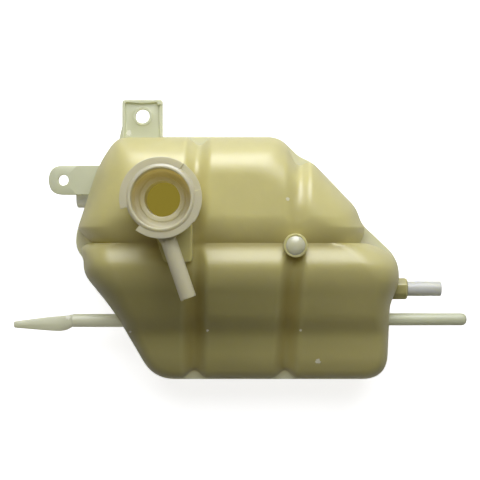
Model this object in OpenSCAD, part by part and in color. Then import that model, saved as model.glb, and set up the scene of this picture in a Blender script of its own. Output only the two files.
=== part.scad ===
// Coolant expansion tank of an engine bay: a blow-moulded hollow body with a welded filler neck.
// The filler axis is +Z and its foot on the flat underside is the origin. The long side lies along X.

/* [Body] */
// Distance from the filler axis to the left end of the body
reach_left = 71; // [66:0.5:76]
// Distance from the filler axis to the right end of the body
reach_right = 178.3; // [172:0.1:186]
// Distance from the filler axis to the straight upper edge
reach_top = 50.3; // [46:0.1:54]
// Distance from the filler axis to the straight lower edge
reach_bottom = 136.8; // [130:0.1:144]
// Height of the parting line above the underside
parting_height = 52; // [46:0.5:56]
// Height of the highest lobe above the underside
crest_height = 102; // [98:0.5:108]
// Thickness of the blown wall
wall = 3; // [2:0.1:4]
// How far the parting rib stands out of the walls
rib_out = 0.8; // [0.5:0.1:1.5]
// Height of the parting rib
rib_height = 1.6; // [1:0.1:3]
// Share of a wall's height that its rounded shoulder reaches inward, front half
shoulder_front = 0.62; // [0.45:0.01:0.8]
// Radius of the rounded edge of the underside
shoulder_back = 20; // [14:1:28]

/* [Grooves] */
// Depth of the two grooves that run across the body
groove_depth = 8; // [5:0.5:10]
// Half the width of those grooves
groove_half = 11; // [8:0.5:14]
// How far those grooves notch the outline of the front half
groove_notch = 6; // [3:0.5:8]
// Depth of the long groove between the upper and lower lobes
valley_depth = 12; // [8:0.5:14]
// Place of the first cross groove right of the filler axis
groove_a_x = 22.8; // [20:0.1:26]
// Place of the second cross groove right of the filler axis
groove_b_x = 96.2; // [93:0.1:99]
// Distance of the long groove below the filler axis
valley_y = 31.5; // [29:0.5:34]
// How far the long groove notches the two ends of the front half
valley_notch = 13; // [8:0.5:15]
// Depth of the stiffening grooves in the underside
under_depth = 3; // [1:0.5:5]

/* [Filler neck] */
// Radius of the filler opening
mouth_r = 21; // [19:0.1:22]
// Outer radius of the cap flange
flange_r = 29; // [27:0.1:31]
// Thickness of the cap flange
flange_t = 3.5; // [2.5:0.1:5]
// Height of the neck's lip above the underside
neck_height = 138; // [132:0.5:144]
// Height of the lip ring above the flange
lip_height = 2; // [1:0.1:3]
// Width of the lip ring
lip_width = 3; // [2:0.1:4]
// Depth of the cap's seat below the lip
seat_depth = 22; // [18:0.5:24]
// Radius of the hole in the seat
throat_r = 12.8; // [11:0.1:14]
// Thickness of the neck's walls
neck_wall = 3.2; // [2.4:0.1:4]
// Height of the moulded pad that the neck is welded on
pad_height = 103; // [100:0.5:107]
// Angles of the two bayonet notches, from and to, counted from +X
notch_angles = [[195, 232.5], [12, 56]];

/* [Overflow nipple] */
// Outer radius of the overflow nipple on the neck
overflow_r = 5.8; // [4.5:0.1:6.5]
// Bore radius of the overflow nipple
overflow_bore = 3.5; // [2:0.1:4]
// Turn of the overflow nipple from straight down the page
overflow_angle = 19; // [10:1:28]
// Distance of its axis from the filler axis
overflow_offset = 5; // [0:0.5:8]
// Distance from the filler axis to its tip
overflow_reach = 73; // [60:1:80]
// Depth of its axis below the lip
overflow_drop = 13; // [11:0.5:14]

/* [Fixing tabs] */
// Thickness of both fixing tabs
tab_t = 5; // [3:0.5:7]
// Width of the upper tab
top_tab_w = 30.8; // [26:0.1:34]
// Distance from the filler axis to the end of the upper tab
top_tab_end = 78.3; // [74:0.1:82]
// Place of the upper tab's middle, left of the filler axis
top_tab_x = 19.5; // [16:0.1:22]
// Radius of the hole in the upper tab
top_hole_r = 5.4; // [4:0.1:7]
// Distance of that hole from the end of the tab
top_hole_in = 12.3; // [11:0.1:15]
// Height of the rim around the upper tab
tab_rim = 2.5; // [1:0.1:4]
// Width of the left tab
left_tab_w = 22.6; // [18:0.1:25]
// Distance from the filler axis to the end of the left tab
left_tab_end = 91.9; // [87:0.1:98]
// Height of the left tab's middle above the filler axis in the plan
left_tab_y = 16.8; // [13:0.1:19]
// Radius of the hole in the left tab
left_hole_r = 4.1; // [3:0.1:6]

/* [Pipes] */
// Outer radius of the side nipple
side_r = 5.7; // [4.5:0.1:6.5]
// Bore radius of the side nipple
side_bore = 3.6; // [2:0.1:4]
// Distance from the filler axis to the tip of the side nipple
side_reach = 210.9; // [200:0.1:220]
// Place of the side nipple below the filler axis in the plan
side_y = 67; // [62:0.5:70]
// Radius of the moulded collar round the side nipple
collar_r = 8.1; // [7.5:0.1:10]
// How far that collar stands out of the body
collar_out = 6.1; // [3:0.1:10]
// Radius of the closed pipe stub on the right
rod_r = 4.75; // [3.5:0.05:6]
// Distance from the filler axis to the end of the closed pipe stub
rod_reach = 230.7; // [215:0.1:240]
// Place of the closed pipe stub below the filler axis in the plan
rod_y = 90.7; // [84:0.1:96]
// Radius of the pinched pipe on the left
pinch_r = 5.05; // [4:0.05:6]
// Distance from the filler axis to where the pinched pipe turns flat
pinch_start = 73.4; // [68:0.1:80]
// Distance from the filler axis to the tip of the pinched pipe
pinch_reach = 119; // [105:0.5:125]
// Place of the pinched pipe below the filler axis in the plan
pinch_y = 91.6; // [88:0.1:94]
// Width of the flattened end at its widest
pinch_w = 11.7; // [9:0.1:14]
// Thickness of the flattened end
pinch_t = 3; // [2:0.1:4]
// Outer radius of the lower port
port_r = 8.5; // [7:0.1:10]
// Bore radius of the lower port
port_bore = 6; // [4:0.1:6.5]
// Distance from the filler axis to the end of the lower port
port_reach = 72.4; // [70:0.1:85]
// Place of the lower port's axis above the filler axis in the plan
port_y = 4.5; // [3:0.1:8]
// Height of the lower port's axis above the underside
port_height = 35; // [30:0.5:37]

/* [Plug] */
// Radius of the round plug
plug_r = 7; // [5.5:0.1:8]
// Wall of the boss round the plug
boss_wall = 1.75; // [1.2:0.05:3]
// Place of the plug right of the filler axis
plug_x = 96.3; // [93:0.1:99]
// Place of the plug below the filler axis in the plan
plug_y = 33.4; // [31:0.1:36]
// Height of the boss round the plug
boss_height = 101; // [98:0.5:106]
// How far the plug's dome stands out of its boss
dome_height = 2.6; // [1:0.1:4]

/* [Hidden] */
$fn = 72;

// Corners of the parting line seen from the front, each with the length over which it is rounded
plan_corners = [
    [-11, -reach_bottom, 16],
    [reach_right - 9.3, -reach_bottom, 19], [reach_right - 6.8, -79, 5],
    [reach_right, -64, 8], [reach_right, -44, 12],
    [reach_right - 28.8, -16.7, 5], [reach_right - 32.8, -4.5, 6],
    [112, 30.5, 6], [101, 35.2, 4],
    [86, reach_top, 9], [-38.5, reach_top, 8],
    [-52.5, 31.5, 14], [-reach_left, -24, 7],
    [-reach_left, -36.5, 6], [6 - reach_left, -44, 4],
    [5.8 - reach_left, -55.5, 8], [-41, -85.5, 14]
];
// Height of the lobes along Y, without the grooves, measured down from the highest one
crown_fall = [[-140, 31], [-110, 22.5], [-94, 18.5], [-86, 14], [-68, 8], [-58, 3], [-45, 0], [-10, 2], [20, 5], [60, 11]];
// Depth of the cross grooves along Y, as a share of their full depth
groove_share = [[-140, 1], [-40, 1], [-5, 0.45], [25, 0.5], [50, 0.9]];
blend_reach = 4;
// Half the widths of the notches that the cross grooves and the long groove cut in the outline
notch_half = 10.5;
end_notch_half = 13;
// Lengths of the slopes into the long groove from above and from below
valley_upper = 20;
valley_lower = 8;
shoulder_power = 2.2;
// Distance over which the grooves of the underside run out
under_fade = 15;
// Places along the long groove that the rows of the skins run to, close together at the cross grooves
groove_steps = [-1, -0.66, -0.33, 0, 0.33, 0.66, 1];
stations = concat([-8, 3], [for (k = groove_steps) groove_a_x + k * groove_half],
                  [47, 60, 73], [for (k = groove_steps) groove_b_x + k * groove_half], [116]);
// How much the rows and the cross grooves lean at one place along the long groove
function lean(x) = 0.012 + 0.0005 * x;
neck_outer = mouth_r + neck_wall;
throat_outer = throat_r + neck_wall;
pad_margin = 1.4;
throat_drop = 10;
// How much smaller than its surroundings a rounded edge, a foot or a cut is made
edge = 0.6;
clearance = 0.3;
chamfer = 1;
through = 1;
// Plinth under the overflow nipple as [x, y, rounding], from the neck out, and the heights it lies between
plinth_corners = [[-9, -16, 2], [0.5, -45.5, 3], [21, -45.5, 3], [21, -16, 2]];
plinth_foot = 80;
plinth_top = 108;
// Spigots: their step and how far they reach into the shell
spigot_step = 0.4;
spigot_in = 14;
port_in = 22;
plug_stem = 9;
root_step = 0.7;
root_out = 2.5;
root_in = 3;
seat_bead = 1.2;
// Flat lands of the underside between its grooves, each as [left, right, lower edge, upper edge]
land_rise = 0.5;
land_round = 5;
land_gap = 4;
land_near = groove_half + 3;
land_side = 30;
land_left = groove_a_x - groove_half - land_gap;
land_middle = [groove_a_x + groove_half + land_gap, groove_b_x - groove_half - land_gap - 3];
land_right = groove_b_x + groove_half + land_gap;
land_low = shoulder_back + 4 - reach_bottom;
rest_lands = [
    [land_side + 9 - reach_left, land_left, land_near - valley_y, reach_top - land_side + 1.2],
    [land_middle[0], land_middle[1], land_near - valley_y, reach_top - land_side + 4],
    [57 - reach_left, land_left, 52.8 - reach_bottom, -valley_y - land_near],
    [land_middle[0], land_middle[1], land_low, -valley_y - land_near],
    [land_right, reach_right - land_side, land_low, -valley_y - land_near]
];
// How deep the tabs, pipes and holes run into the body from its ends
tab_root = 10;
left_tab_root = 26;
pinch_root = 31;
pipe_root = 16;
collar_root = 18;
pad_root = 20;
boss_root = 18;
hole_in = 30;
throat_in = 40;
bore_in = 10;
// Upper tab: width of its rim, ring round its hole, flared foot and the nub on its corner
rim_wide = 2;
hole_ring = 1.9;
hole_ring_rise = 0.8;
foot_flare = 2.6;
foot_rise = 9;
nub = 4;
nub_rise = 1.2;
// Pinched end of the left pipe: distance over which it turns flat, shifts of its two ends and radius of its tip
flat_run = 10;
flat_shift = 0.4;
tip_shift = 3;
tip_r = 2.5;
// Distance from the parting line that counts as the middle of the body
deep = 1000;

// Points of a rounded corner: a quadratic curve from one straight to the next
function corner_curve(before, corner, after, steps = 2) =
    let (p = [corner[0], corner[1]],
         a = [before[0], before[1]] - p,
         b = [after[0], after[1]] - p,
         first = p + a / norm(a) * corner[2],
         last = p + b / norm(b) * corner[2])
    [for (i = [0:steps]) let (t = i / steps) (1 - t) ^ 2 * first + 2 * t * (1 - t) * p + t ^ 2 * last];

// The parting line as points no further apart than a given spacing
function plan_line(spacing) =
    let (count = len(plan_corners),
         raw = [for (i = [0:count - 1])
             each corner_curve(plan_corners[(i + count - 1) % count], plan_corners[i],
                               plan_corners[(i + 1) % count])])
    [for (i = [0:len(raw) - 1])
        let (p = raw[i], q = raw[(i + 1) % len(raw)], cuts = max(1, ceil(norm(q - p) / spacing)))
        for (k = [0:cuts - 1]) p + (q - p) * k / cuts];

// Heights at which a closed line crosses one place along X
function crossings(line, x) = [for (i = [0:len(line) - 1])
    let (p = line[i], q = line[(i + 1) % len(line)])
    if ((p[0] - x) * (q[0] - x) <= 0 && p[0] != q[0]) p[1] + (q[1] - p[1]) * (x - p[0]) / (q[0] - p[0])];

// The parting line again as [x, y, station], with its middle stretches cut at the leaning stations
function station_line(line) =
    let (end = len(stations) - 1,
         low = [for (i = [0:end]) let (x = stations[i] - lean(stations[i]) * (reach_bottom - valley_y))
             [x, min(crossings(line, x)), i]],
         high = [for (i = [end:-1:0]) let (x = stations[i] + lean(stations[i]) * (reach_top + valley_y))
             [x, max(crossings(line, x)), i]],
         half = floor(len(line) / 2))
    concat(low,
           [for (p = line) if (p[0] > (p[1] > -valley_y ? high[0][0] : low[end][0]) + 2) [p[0], p[1], end]],
           high,
           [for (i = [0:len(line) - 1]) let (p = line[(i + half) % len(line)])
               if (p[0] < (p[1] > -valley_y ? high[end][0] : low[0][0]) - 2) [p[0], p[1], 0]]);

// Outward normal of a closed line at one of its points
function line_normal(line, i) =
    let (d = line[(i + 1) % len(line)] - line[(i + len(line) - 1) % len(line)])
    [d[1], -d[0]] / norm(d);

// A table read with its corners rounded off
function smooth_lookup(v, table) =
    (lookup(v - blend_reach, table) + lookup(v - blend_reach / 2, table) + lookup(v, table)
     + lookup(v + blend_reach / 2, table) + lookup(v + blend_reach, table)) / 5;

// One bump of height 1 that falls to 0 at a given distance, as a cosine wave
function wave(s, half) = abs(s) >= half ? 0 : (1 + cos(180 * s / half)) / 2;

// Middle lines of the two cross grooves, which lean a little
function groove_line_a(y) = groove_a_x + lean(groove_a_x) * (y + valley_y);
function groove_line_b(y) = groove_b_x + lean(groove_b_x) * (y + valley_y);

// The two cross grooves and the long groove as heights between 0 and 1
function cross_wave(x, y) =
    smooth_lookup(y, groove_share) * max(wave(x - groove_line_a(y), groove_half), wave(x - groove_line_b(y), groove_half));
function valley_wave(y) = let (s = y + valley_y) s > 0 ? wave(s, valley_upper) : wave(s, valley_lower);

// How far the outline of the front half is set back from the parting line
function notch_at(x, y) =
    max(groove_notch * max(wave(x - groove_line_a(y), notch_half), wave(x - groove_line_b(y), notch_half)),
        valley_notch * wave(y + valley_y, end_notch_half));

// Height of the front face without its shoulders
function front_height(x, y) =
    crest_height - smooth_lookup(y, crown_fall)
    - max(groove_depth * cross_wave(x, y), valley_depth * valley_wave(y));

// Height of the underside: flat, with shallow grooves that end before its edge
function back_height(x, y, d) =
    under_depth * max(0, min(1, (d - shoulder_back) / under_fade))
    * max(wave(x - groove_line_a(y), groove_half), wave(x - groove_line_b(y), groove_half), wave(y + valley_y, groove_half));

// Rise of a rounded shoulder, from 0 at the wall's foot to 1 at its full reach
function shoulder(q) = q >= 1 ? 1 : q <= 0 ? 0 : (1 - (1 - q) ^ shoulder_power) ^ (1 / shoulder_power);

// One point of the front face: d is the distance from the parting line
function front_point(p, d, start, inset) =
    let (top = front_height(p[0], p[1]) - inset, rise = top - parting_height)
    [p[0], p[1], parting_height + rib_height / 2 + (rise - rib_height / 2) * shoulder((d - start) / (shoulder_front * rise))];

function back_point(p, d, start, inset) =
    let (floor_z = inset + land_rise + back_height(p[0], p[1], d), drop = parting_height - floor_z)
    [p[0], p[1], parting_height - rib_height / 2 - (drop - rib_height / 2) * shoulder((d - start) / shoulder_back)];

// Shares of the way from the parting line to the long groove, close together near both
front_shares = [0, 0.008, 0.03, 0.065, 0.11, 0.165, 0.23, 0.3, 0.38, 0.47, 0.56, 0.65, 0.73, 0.8, 0.86, 0.91, 0.955];
back_shares = [0, 0.012, 0.045, 0.1, 0.17, 0.25, 0.4];
inner_front_shares = [0, 0.025, 0.085, 0.17, 0.27, 0.4, 0.54, 0.7, 0.86];
inner_back_shares = [0, 0.05, 0.15, 0.26];

// A closed skin: rings of points that shrink from the parting line to the long groove on both faces
module skin(inset, spacing, top_shares, low_shares) {
    outline = station_line(plan_line(spacing));
    line = [for (q = outline) [q[0], q[1]]];
    station_of = [for (q = outline) q[2]];
    n = len(line);
    count = len(stations);
    foot = [for (i = [0:n - 1]) [stations[station_of[i]], -valley_y]];
    reach = [for (i = [0:n - 1]) (line[i] - foot[i]) * line_normal(line, i)];
    start = inset + rib_out;
    notch = [for (i = [0:n - 1]) start + notch_at(line[i][0], line[i][1])];
    function place(i, d) = line[i] + (foot[i] - line[i]) * d / reach[i];
    function at_share(i, from, f) = from + (reach[i] - from) * f;
    front = [for (k = [len(top_shares) - 1:-1:0]) [for (i = [0:n - 1])
        let (d = at_share(i, notch[i], top_shares[k])) front_point(place(i, d), d, notch[i], inset)]];
    seam_d = inset > 0 ? start : 0;
    seam_z = inset > 0 ? [0] : [rib_height / 4, -rib_height / 4];
    seam = [for (z = seam_z) [for (i = [0:n - 1]) concat(place(i, seam_d), parting_height + z)]];
    back = [for (f = low_shares) [for (i = [0:n - 1])
        let (d = at_share(i, start, f)) back_point(place(i, d), d, start, inset)]];
    rings = concat(front, seam, back);
    top_spine = [for (s = stations) front_point([s, -valley_y], deep, 0, inset)];
    low_spine = [for (s = stations) back_point([s, -valley_y], deep, 0, inset)];
    points = concat([for (ring = rings) each ring], top_spine, low_spine);
    last = (len(rings) - 1) * n;
    top = len(rings) * n;
    low = top + count;
    faces = concat(
        [for (i = [0:n - 1]) let (j = (i + 1) % n, a = station_of[i], b = station_of[j])
            each a == b ? [[top + a, j, i]] : [[top + a, top + b, i], [top + b, j, i]]],
        [for (k = [0:len(rings) - 2]) for (i = [0:n - 1]) let (j = (i + 1) % n)
            each [[k * n + i, k * n + j, (k + 1) * n + i], [k * n + j, (k + 1) * n + j, (k + 1) * n + i]]],
        [for (i = [0:n - 1]) let (j = (i + 1) % n, a = station_of[i], b = station_of[j])
            each a == b ? [[last + i, last + j, low + a]] : [[last + i, last + j, low + a], [last + j, low + b, low + a]]]);
    polyhedron(points, faces);
}

// Places a shape on the parting plane, lying along X or -X, at a place in the plan
module along_x(x, y, z = parting_height, left = false) {
    translate([x, y, z]) rotate([0, left ? -90 : 90, 0]) children();
}

// Closed line through rounded corners
function rounded(corners) =
    let (n = len(corners))
    [for (i = [0:n - 1]) each corner_curve(corners[(i + n - 1) % n], corners[i], corners[(i + 1) % n])];

// Plate with a raised rim on three sides and a ring round its hole
module top_tab() {
    half = top_tab_w / 2;
    foot_y = reach_top - tab_root;
    long = top_tab_end - foot_y;
    translate([-top_tab_x, 0, parting_height - tab_t / 2]) {
        translate([-half, foot_y, 0]) cube([top_tab_w, long, tab_t]);
        linear_extrude(tab_t + tab_rim) difference() {
            translate([-half, foot_y]) square([top_tab_w, long]);
            translate([rim_wide - half, foot_y - through])
                square([top_tab_w - 2 * rim_wide, long + through - rim_wide]);
        }
        translate([0, top_tab_end - top_hole_in, 0]) cylinder(h = tab_t + hole_ring_rise, r = top_hole_r + hole_ring);
        // Flared foot on the left and the nub on the right corner
        linear_extrude(tab_t) polygon([[-half, foot_y], [-half - foot_flare, foot_y],
                                       [-half - foot_flare, reach_top - 1], [-half, reach_top + foot_rise]]);
        translate([half - nub, top_tab_end - nub, 0]) cube([nub, nub, tab_t + tab_rim + nub_rise]);
    }
}

module left_tab() {
    half = left_tab_w / 2;
    translate([0, left_tab_y, parting_height - tab_t / 2]) {
        translate([half - left_tab_end, 0, 0]) cylinder(h = tab_t, r = half);
        translate([half - left_tab_end, -half, 0])
            cube([left_tab_end - half - reach_left + left_tab_root, left_tab_w, tab_t]);
    }
}

// Pipe on the left that the mould pinched flat and sealed
module pinched_pipe() {
    root = reach_left - pinch_root;
    along_x(-root, -pinch_y, left = true) cylinder(h = pinch_start - root, r = pinch_r);
    hull() {
        along_x(-pinch_start, -pinch_y, left = true) cylinder(h = 0.5, r = pinch_r, $fn = 32);
        flat_disc(pinch_start + flat_run, flat_shift, pinch_w / 2);
    }
    hull() {
        flat_disc(pinch_start + flat_run, flat_shift, pinch_w / 2);
        flat_disc(pinch_reach - tip_r, tip_shift, tip_r);
    }
}

module flat_disc(reach, shift, r) {
    translate([-reach, -pinch_y - shift, parting_height - pinch_t / 2]) cylinder(h = pinch_t, r = r, $fn = 32);
}

module closed_stub() {
    root = reach_right - pipe_root;
    along_x(root, -rod_y) cylinder(h = rod_reach - rod_r - root, r = rod_r);
    translate([rod_reach - rod_r, -rod_y, parting_height]) sphere(r = rod_r);
}

// Room that the neck's foot and the overflow nipple leave free in the shell
module neck_room() {
    translate([0, 0, pad_height]) cylinder(h = plinth_top, r = neck_outer + pad_margin + clearance);
    along_overflow(0) cylinder(h = overflow_reach + clearance, r = overflow_r + root_step + clearance);
}

// Raised plinth under the overflow nipple, with one side in line with the nipple
module nipple_plinth() {
    translate([0, 0, plinth_foot]) linear_extrude(plinth_top - plinth_foot) polygon(rounded(plinth_corners));
}

// The flat lands that the tank rests on, a little proud of the grooved underside
module underside_lands() {
    for (land = rest_lands)
        linear_extrude(land_rise + through)
            polygon(rounded([[land[0], land[2], land_round], [land[1], land[2], land_round],
                             [land[1], land[3], land_round], [land[0], land[3], land_round]]));
}

module tank_shell() {
    color([0.84, 0.83, 0.66]) difference() {
        union() {
            skin(0, 14, front_shares, back_shares);
            top_tab();
            left_tab();
            pinched_pipe();
            closed_stub();
            nipple_plinth();
            underside_lands();
            along_x(reach_right - collar_root, -side_y) cylinder(h = collar_root + collar_out, r = collar_r);
            translate([0, 0, pad_height - pad_root]) cylinder(h = pad_root, r = neck_outer + pad_margin);
            translate([plug_x, -plug_y, boss_height - boss_root]) cylinder(h = boss_root, r = plug_r + boss_wall);
        }
        skin(wall, 14, inner_front_shares, inner_back_shares);
        neck_room();
        // Holes for the neck's throat, the plug, the side nipple, the lower port and the two fixings
        translate([0, 0, pad_height - throat_in]) cylinder(h = throat_in + through, r = throat_outer);
        translate([plug_x, -plug_y, boss_height - hole_in]) cylinder(h = hole_in + through, r = plug_r);
        along_x(reach_right - hole_in, -side_y) cylinder(h = hole_in + through + collar_out, r = side_r + spigot_step);
        along_x(port_in + through - reach_left, port_y, port_height, true) cylinder(h = port_reach, r = port_r);
        translate([-top_tab_x, top_tab_end - top_hole_in, 0]) cylinder(h = 2 * parting_height, r = top_hole_r);
        translate([left_tab_w / 2 - left_tab_end, left_tab_y, 0]) cylinder(h = 2 * parting_height, r = left_hole_r);
    }
}

// Half section of the neck: mouth, seat for the cap, throat, weld foot and flange with its lip
module neck_section() {
    seat_z = neck_height - seat_depth;
    flange_z = neck_height - lip_height;
    flange_edge = 0.8;
    foot_r = neck_outer + pad_margin;
    foot_z = pad_height + 2.5;
    bead_in = throat_r + flange_edge;
    bead_out = throat_r + 3;
    polygon([
        [throat_r, pad_height - throat_drop], [throat_outer, pad_height - throat_drop],
        [throat_outer, pad_height], [foot_r, pad_height], [foot_r, foot_z], [neck_outer, foot_z + 2],
        [neck_outer, flange_z - flange_t], [flange_r - flange_edge, flange_z - flange_t],
        [flange_r, flange_z - flange_t + flange_edge], [flange_r, flange_z - flange_edge],
        [flange_r - flange_edge, flange_z],
        [mouth_r + lip_width, flange_z], [mouth_r + lip_width - edge, neck_height],
        [mouth_r + edge, neck_height], [mouth_r, neck_height - edge],
        [mouth_r, seat_z + seat_bead + 0.4], [mouth_r - edge, seat_z + 0.4], [mouth_r - edge - flange_edge, seat_z],
        [bead_out + 0.7, seat_z], [bead_out, seat_z + seat_bead],
        [bead_in, seat_z + seat_bead], [throat_r, seat_z + seat_bead / 2]
    ]);
}

// Runs from a point beside the filler axis out along the overflow nipple
module along_overflow(from) {
    translate([0, 0, neck_height - overflow_drop]) rotate([0, 0, overflow_angle - 90])
        translate([from, -overflow_offset, 0]) rotate([0, 90, 0]) children();
}

// One bayonet notch in the flange, outside the lip
module bayonet_notch(from, to) {
    translate([0, 0, neck_height - lip_height - flange_t - through]) rotate([0, 0, from])
        rotate_extrude(angle = to - from) translate([mouth_r + lip_width + 0.4, 0])
            square([flange_r, flange_t + 2 * through]);
}

module filler_neck() {
    root = mouth_r - root_in;
    color([0.86, 0.85, 0.76]) difference() {
        union() {
            rotate_extrude() neck_section();
            difference() {
                union() {
                    along_overflow(root) cylinder(h = overflow_reach - root, r = overflow_r);
                    // Thicker root under the flange
                    along_overflow(root) cylinder(h = flange_r - mouth_r + root_out, r = overflow_r + root_step);
                }
                translate([0, 0, pad_height]) cylinder(h = neck_height, r = mouth_r + 1);
            }
        }
        for (pair = notch_angles) bayonet_notch(pair[0], pair[1]);
        along_overflow(mouth_r - bore_in) cylinder(h = overflow_reach, r = overflow_bore);
    }
}

module side_nipple() {
    reach = side_reach - reach_right + spigot_in - chamfer;
    color([0.87, 0.87, 0.8]) along_x(reach_right - spigot_in, -side_y) difference() {
        union() {
            cylinder(h = collar_out + spigot_in, r = side_r + spigot_step);
            cylinder(h = reach, r = side_r);
            translate([0, 0, reach]) cylinder(h = chamfer, r1 = side_r, r2 = side_r - chamfer);
        }
        translate([0, 0, -through]) cylinder(h = side_reach, r = side_bore);
    }
}

module round_plug() {
    cap_r = (plug_r ^ 2 + dome_height ^ 2) / (2 * dome_height);
    color([0.88, 0.88, 0.82]) translate([plug_x, -plug_y, boss_height]) {
        translate([0, 0, -plug_stem]) cylinder(h = plug_stem, r = plug_r);
        intersection() {
            translate([0, 0, dome_height - cap_r]) sphere(r = cap_r);
            cylinder(h = dome_height + through, r = plug_r);
        }
    }
}

module lower_port() {
    color([0.74, 0.75, 0.72]) along_x(port_in - reach_left, port_y, port_height, true) difference() {
        cylinder(h = port_reach + port_in - reach_left, r = port_r);
        translate([0, 0, -through]) cylinder(h = port_reach, r = port_bore);
    }
}

tank_shell();
filler_neck();
side_nipple();
round_plug();
lower_port();
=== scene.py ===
"""Coolant expansion tank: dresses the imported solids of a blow-moulded tank as smooth translucent plastic."""
import math

import bmesh
import bpy
import numpy as np
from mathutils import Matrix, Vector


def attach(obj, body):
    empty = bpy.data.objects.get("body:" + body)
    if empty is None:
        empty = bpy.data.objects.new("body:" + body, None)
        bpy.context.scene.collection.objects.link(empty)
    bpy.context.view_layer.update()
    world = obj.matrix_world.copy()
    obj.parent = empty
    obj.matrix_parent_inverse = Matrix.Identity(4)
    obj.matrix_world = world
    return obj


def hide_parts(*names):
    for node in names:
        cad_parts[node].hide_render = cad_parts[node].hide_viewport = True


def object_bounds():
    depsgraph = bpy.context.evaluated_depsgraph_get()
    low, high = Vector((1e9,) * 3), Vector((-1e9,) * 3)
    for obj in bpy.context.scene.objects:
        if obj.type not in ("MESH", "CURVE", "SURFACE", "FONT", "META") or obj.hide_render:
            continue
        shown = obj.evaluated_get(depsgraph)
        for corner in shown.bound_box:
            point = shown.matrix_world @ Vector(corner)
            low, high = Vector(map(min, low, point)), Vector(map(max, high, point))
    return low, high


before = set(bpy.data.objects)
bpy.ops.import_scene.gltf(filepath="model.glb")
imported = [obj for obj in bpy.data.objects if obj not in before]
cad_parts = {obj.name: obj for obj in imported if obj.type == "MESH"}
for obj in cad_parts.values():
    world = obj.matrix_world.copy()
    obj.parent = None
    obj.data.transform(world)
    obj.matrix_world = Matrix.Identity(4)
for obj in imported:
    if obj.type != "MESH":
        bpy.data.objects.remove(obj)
cad_box = [[float(v) for v in corner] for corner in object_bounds()]

bl_info = {
    "name": "Coolant expansion tank",
    "version": (1, 0, 0),
    "blender": (4, 5, 0),
    "location": "View3D > Sidebar > Tank",
    "description": "Builds the blown body, the filler neck and the small fittings of an expansion tank",
    "category": "Add Mesh",
}

MM = 0.001
# Gap over which points are merged, in metres, and the fold from which an edge is shown sharp, in radians
WELD_GAP = 1e-6
FOLD_ANGLE = 0.6


def length(name, text, default):
    """A size in metres, given here in millimetres."""
    return bpy.props.FloatProperty(name=name, description=text, default=default * MM, min=0.0,
                                   unit="LENGTH", subtype="DISTANCE", precision=5)


def place(name, text, default):
    """A signed place in metres, given here in millimetres."""
    return bpy.props.FloatProperty(name=name, description=text, default=default * MM,
                                   unit="LENGTH", subtype="DISTANCE", precision=5)


def amount(name, text, default, unit="NONE"):
    """A strength or a power."""
    return bpy.props.FloatProperty(name=name, description=text, default=default, min=0.0, unit=unit)


def srgb(*rgb):
    """Linear colour from a display colour in 0 to 255."""
    return tuple(((v / 255) / 12.92) if v / 255 <= 0.04045 else ((v / 255 + 0.055) / 1.055) ** 2.4
                 for v in rgb)


def colour(name, text, *rgb):
    """A colour, given here as a display colour in 0 to 255."""
    return bpy.props.FloatVectorProperty(name=name, description=text, default=srgb(*rgb), size=3,
                                         min=0.0, max=1.0, subtype="COLOR")


class BodySizes(bpy.types.PropertyGroup):
    """Sizes of the blown body, in its own frame with the filler axis as Z."""
    reach_left: length("Left reach", "Filler axis to the left end", 71)
    reach_right: length("Right reach", "Filler axis to the right end", 178.3)
    reach_top: length("Upper reach", "Filler axis to the straight upper edge", 50.3)
    reach_bottom: length("Lower reach", "Filler axis to the straight lower edge", 136.8)
    parting: length("Parting height", "Height of the parting line above the underside", 52)
    crest: length("Crest height", "Height of the highest lobe", 99.5)
    lower_fall: length("Lower row drop", "How far the lower lobes lie below the upper ones", 2.5)
    wall: length("Wall", "Thickness of the blown wall", 3)
    rib_out: length("Rib depth", "How far the parting rib stands out", 0.8)
    rib_height: length("Rib height", "Height of the parting rib", 1.6)
    shoulder_back: length("Underside edge", "Radius of the rounded edge of the underside", 20)
    groove_depth: length("Cross groove depth", "Depth of the two grooves across the body", 8)
    groove_half: length("Cross groove half width", "Half the width of those grooves", 11)
    groove_notch: length("Cross groove notch", "How far they notch the outline", 6)
    groove_a_x: length("First cross groove", "Its place right of the filler axis", 22.8)
    groove_b_x: length("Second cross groove", "Its place right of the filler axis", 96.2)
    valley_depth: length("Long groove depth", "Depth of the long groove", 8)
    valley_upper: length("Long groove upper slope", "Length of the slope above the long groove", 20)
    valley_lower: length("Long groove lower slope", "Length of the rounded rise below it", 19)
    valley_y: length("Long groove place", "Distance of the long groove below the filler axis", 31.5)
    valley_notch: length("Long groove notch", "How far it notches the two ends", 11)
    under_depth: length("Underside groove depth", "Depth of the grooves in the underside", 3)


class TabSizes(bpy.types.PropertyGroup):
    """Sizes of the two fixing tabs, whose middle is the parting line."""
    thick: length("Thickness", "Thickness of both tabs", 5)
    rim: length("Rim", "Height of the rim round the upper tab", 2.5)
    rim_width: length("Rim width", "Width of that rim", 2.6)
    upper_x: place("Upper tab place", "Place of the upper tab along X", -19.5)
    upper_width: length("Upper tab width", "Width of the upper tab", 30.8)
    upper_reach: length("Upper tab reach", "Filler axis to the end of the upper tab", 78.3)
    upper_hole: length("Upper hole", "Radius of the upper tab's hole", 5.4)
    upper_hole_y: length("Upper hole place", "Distance of that hole above the filler axis", 66)
    left_y: place("Left tab place", "Place of the left tab along Y", 16.8)
    left_width: length("Left tab width", "Width of the left tab", 22.6)
    left_reach: length("Left tab reach", "Filler axis to the end of the left tab", 91.9)
    left_hole: length("Left hole", "Radius of the left tab's hole", 4.1)
    left_hole_x: length("Left hole place", "Distance of that hole left of the filler axis", 80.6)


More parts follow.
